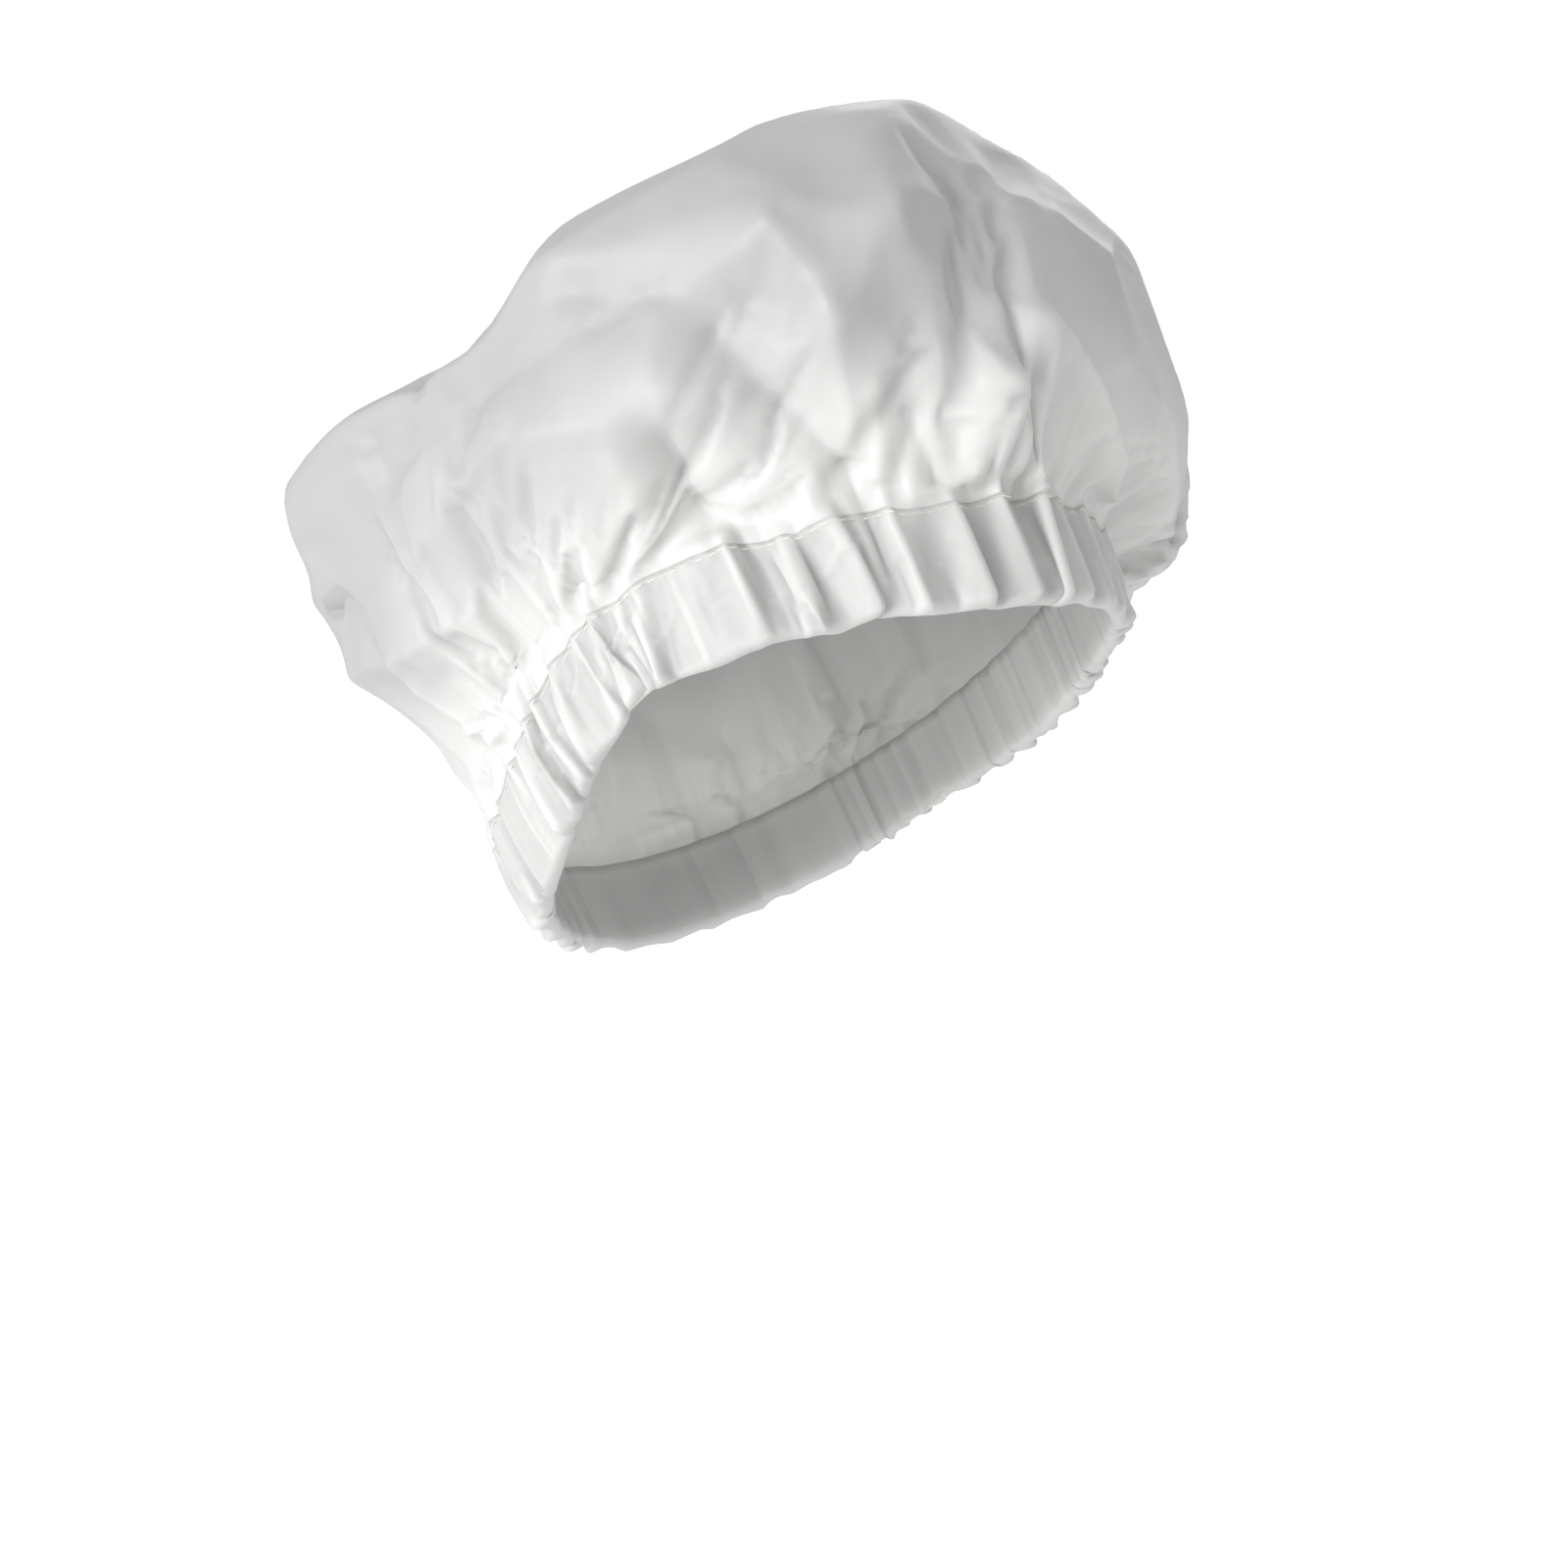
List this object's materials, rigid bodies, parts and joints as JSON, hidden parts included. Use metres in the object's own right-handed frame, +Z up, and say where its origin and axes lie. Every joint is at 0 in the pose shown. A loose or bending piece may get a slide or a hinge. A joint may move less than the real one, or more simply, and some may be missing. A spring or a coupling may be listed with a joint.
{
  "type": "shower cap",
  "caption": "Puffed shower cap of milky plastic film, gathered into a pleated hem with an elastic inside, in the form it has when worn.",
  "frame": {"origin": "middle of the hem ring, where the head goes in", "axes": "+Z up as worn, -Y to the front of the head, +X to the wearer's left; the hem's plane is tilted, its front 43 degrees up"},
  "size_m": [0.2358, 0.2429, 0.2483],
  "materials": {
    "film": "thin milky film, semi-gloss, lets some light through",
    "textile": "plain white woven elastic and thread"
  },
  "bodies": {
    "root": {"crown": "film", "hem_casing": "film", "elastic": "textile"}
  },
  "joints": []
}
